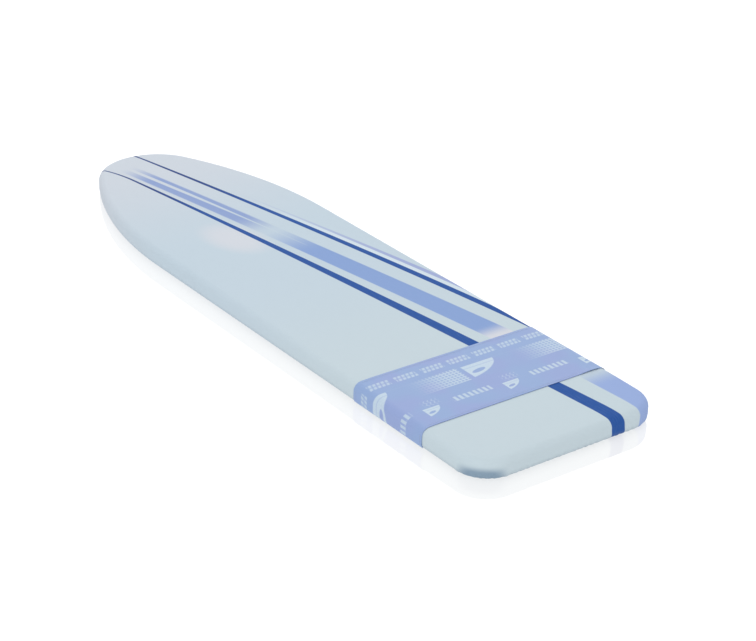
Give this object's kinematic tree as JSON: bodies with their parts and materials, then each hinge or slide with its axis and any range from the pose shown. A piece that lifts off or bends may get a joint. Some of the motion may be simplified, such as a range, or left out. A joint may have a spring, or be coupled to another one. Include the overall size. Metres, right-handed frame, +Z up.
{
  "type": "ironing board top",
  "caption": "Padded ironing board top with a rounded nose, square wide end, fitted striped cover, iron rest band, gathered hem and leg fittings beneath.",
  "frame": {"origin": "middle of the board's length and width, on the surface that it lies on", "axes": "+X along the board from the rounded nose to the wide end, +Z up through the padded top, +Y to the right as seen from the wide end looking to the nose"},
  "size_m": [1.1, 0.3018, 0.0315],
  "materials": {
    "cover_print": "matte",
    "band_cloth": "matte",
    "hem_tape": "matte",
    "white_cord": "matte",
    "foam": "matte",
    "felt": "matte",
    "coated_steel": "satin",
    "bare_steel": "satin",
    "spring_steel": "satin",
    "pale_plastic": "satin",
    "blue_plastic": "satin"
  },
  "bodies": {
    "board": {"cover_fabric": "cover_print", "park_band": "band_cloth", "hem_casing": "hem_tape", "drawcord": "white_cord", "cord_lock_body": "pale_plastic", "cord_lock_spring": "spring_steel", "cord_end_stop": "blue_plastic", "foam_pad": "foam", "felt_underlay": "felt", "mesh_deck": "coated_steel", "rim_tube_front": "coated_steel", "rim_tube_rear": "coated_steel", "rim_spigot_left": "bare_steel", "rim_spigot_right": "bare_steel", "cross_bar_front": "coated_steel", "cross_bar_middle": "coated_steel", "cross_bar_rear": "coated_steel", "rack_rail_left": "coated_steel", "rack_rail_right": "coated_steel", "leg_bracket_left": "bare_steel", "leg_bracket_right": "bare_steel", "bracket_rivet_left_front": "bare_steel", "bracket_rivet_left_rear": "bare_steel", "bracket_rivet_right_front": "bare_steel", "bracket_rivet_right_rear": "bare_steel", "latch_rivet_left": "bare_steel", "latch_rivet_right": "bare_steel", "latch_housing": "pale_plastic", "latch_spring": "spring_steel"},
    "latch": {"latch_slider": "blue_plastic"},
    "lock_plunger": {"cord_lock_plunger": "blue_plastic"}
  },
  "joints": [
    {"name": "latch_slide", "type": "slide", "parent": "board", "child": "latch", "axis": [-1, 0, 0], "range_m": [0, 0.009], "stiffness_N_per_m": 300, "springref_m": -0.004, "deforming": ["latch_spring"]},
    {"name": "cord_lock_press", "type": "slide", "parent": "board", "child": "lock_plunger", "axis": [0, -1, 0], "range_m": [0, 0.004], "stiffness_N_per_m": 600, "springref_m": -0.003, "deforming": ["cord_lock_spring"]}
  ]
}
